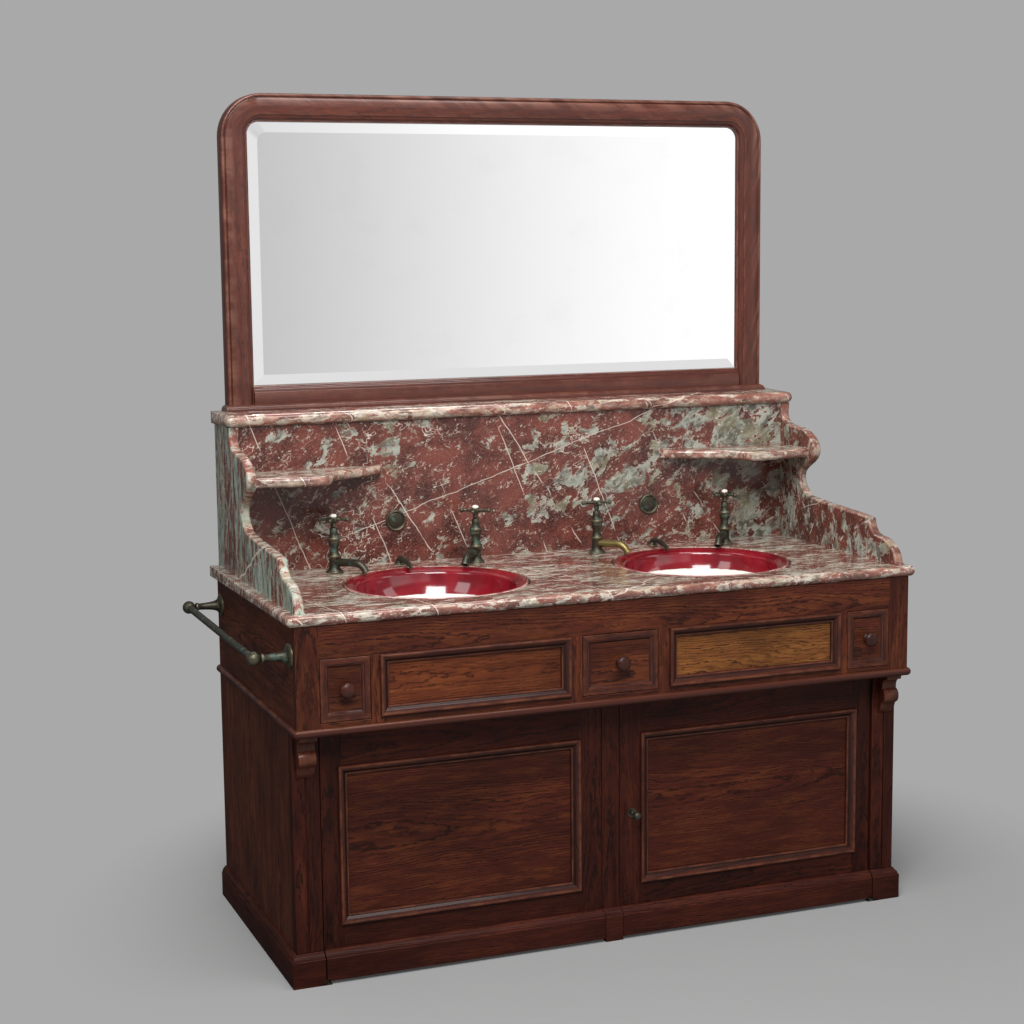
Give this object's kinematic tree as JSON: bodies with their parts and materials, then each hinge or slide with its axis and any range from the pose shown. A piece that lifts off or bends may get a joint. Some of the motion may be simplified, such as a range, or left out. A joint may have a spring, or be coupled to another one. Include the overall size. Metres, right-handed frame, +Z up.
{
  "type": "washstand with marble top",
  "caption": "Wooden washstand with a marble top, splashback and shelf ledge, tip-up bowls, pillar taps, cupboard doors, drawers, a towel rail and a large bevelled mirror.",
  "frame": {"origin": "on the floor, at the middle of the back, in the wall plane", "axes": "+X to the right seen from the front, +Y towards the wall, +Z up"},
  "size_m": [1.5749, 0.722, 1.909],
  "materials": {
    "dark_wood": "dark stained and varnished, visible grain",
    "pale_wood": "lighter stained softwood, satin varnish",
    "mahogany": "smooth reddish polish",
    "marble": "polished red-brown marble with pale veins and grey-green patches",
    "bronze": "dark, greenish, tarnished",
    "brass": "dull",
    "glaze": "glossy deep red over the rim, white below",
    "stoneware": "glossy",
    "porcelain": "glossy",
    "mirror": "silvered glass with a ground bevel"
  },
  "bodies": {
    "washstand": {"plinth": "dark_wood", "side_panel_left": "dark_wood", "side_panel_right": "dark_wood", "back_panel": "pale_wood", "cupboard_floor": "pale_wood", "frieze_frame": "dark_wood", "dust_board": "pale_wood", "drawer_bays": "pale_wood", "false_panels": "pale_wood", "band_moulding": "dark_wood", "pilasters": "dark_wood", "centre_post": "dark_wood", "pivot_sockets": "brass", "marble_top": "marble", "splashback": "marble", "gallery_left": "marble", "gallery_right": "marble", "ledge": "marble", "corner_shelves": "marble", "mirror_frame": "mahogany", "mirror_glass": "mirror", "mirror_back": "pale_wood", "receivers": "stoneware", "rim_stops": "bronze", "splash_discs": "bronze", "waste_traps": "brass", "tap_bodies": "bronze", "supply_pipes": "brass", "towel_rail": "bronze", "rail_brackets": "bronze"},
    "door_left": {"door_frame_left": "dark_wood", "door_panel_left": "pale_wood", "door_plinth_left": "dark_wood", "pivot_plates_left": "brass"},
    "door_right": {"door_frame_right": "dark_wood", "door_panel_right": "pale_wood", "door_plinth_right": "dark_wood", "pivot_plates_right": "brass", "latch_case": "brass"},
    "latch_bolt": {"latch_bolt": "brass"},
    "latch_knob": {"latch_knob": "bronze"},
    "drawer_left": {"drawer_front_left": "dark_wood", "drawer_box_left": "pale_wood", "drawer_knob_left": "dark_wood"},
    "drawer_middle": {"drawer_front_middle": "dark_wood", "drawer_box_middle": "pale_wood", "drawer_knob_middle": "dark_wood"},
    "drawer_right": {"drawer_front_right": "dark_wood", "drawer_box_right": "pale_wood", "drawer_knob_right": "dark_wood"},
    "bowl_left": {"bowl_left": "glaze"},
    "bowl_right": {"bowl_right": "glaze"},
    "tap_handle_1": {"tap_handle_1": "bronze", "tap_button_1": "porcelain"},
    "tap_handle_2": {"tap_handle_2": "bronze", "tap_button_2": "porcelain"},
    "tap_handle_3": {"tap_handle_3": "bronze", "tap_button_3": "porcelain"},
    "tap_handle_4": {"tap_handle_4": "bronze", "tap_button_4": "porcelain"}
  },
  "joints": [
    {"name": "door_left_swing", "type": "hinge", "parent": "washstand", "child": "door_left", "pos_m": [-0.668, -0.657, 0.3], "axis": [0, 0, -1], "range_deg": [0, 100]},
    {"name": "door_right_swing", "type": "hinge", "parent": "washstand", "child": "door_right", "pos_m": [0.668, -0.657, 0.3], "axis": [0, 0, 1], "range_deg": [0, 100]},
    {"name": "latch_turn", "type": "hinge", "parent": "door_right", "child": "latch_knob", "pos_m": [0.05125, -0.641, 0.287], "axis": [0, -1, 0], "range_deg": [0, 90]},
    {"name": "latch_bolt_slide", "type": "slide", "parent": "door_right", "child": "latch_bolt", "axis": [-1, 0, 0], "range_m": [0, 0.01]},
    {"name": "drawer_left_slide", "type": "slide", "parent": "washstand", "child": "drawer_left", "axis": [0, -1, 0], "range_m": [0, 0.32]},
    {"name": "drawer_middle_slide", "type": "slide", "parent": "washstand", "child": "drawer_middle", "axis": [0, -1, 0], "range_m": [0, 0.32]},
    {"name": "drawer_right_slide", "type": "slide", "parent": "washstand", "child": "drawer_right", "axis": [0, -1, 0], "range_m": [0, 0.32]},
    {"name": "bowl_left_tip", "type": "hinge", "parent": "washstand", "child": "bowl_left", "pos_m": [-0.3315, -0.418, 0.774], "axis": [-1, 0, 0], "range_deg": [0, 75]},
    {"name": "bowl_right_tip", "type": "hinge", "parent": "washstand", "child": "bowl_right", "pos_m": [0.3315, -0.418, 0.774], "axis": [-1, 0, 0], "range_deg": [0, 75]},
    {"name": "tap_1_turn", "type": "hinge", "parent": "washstand", "child": "tap_handle_1", "pos_m": [-0.506, -0.217, 0.93], "axis": [0, 0, 1], "range_deg": [0, 540]},
    {"name": "tap_2_turn", "type": "hinge", "parent": "washstand", "child": "tap_handle_2", "pos_m": [-0.157, -0.217, 0.93], "axis": [0, 0, 1], "range_deg": [0, 540]},
    {"name": "tap_3_turn", "type": "hinge", "parent": "washstand", "child": "tap_handle_3", "pos_m": [0.157, -0.217, 0.93], "axis": [0, 0, 1], "range_deg": [0, 540]},
    {"name": "tap_4_turn", "type": "hinge", "parent": "washstand", "child": "tap_handle_4", "pos_m": [0.506, -0.217, 0.93], "axis": [0, 0, 1], "range_deg": [0, 540]}
  ],
  "couplings": [
    {"joint": "latch_turn", "follows": "latch_bolt_slide", "rad_per_m": 157.08}
  ]
}
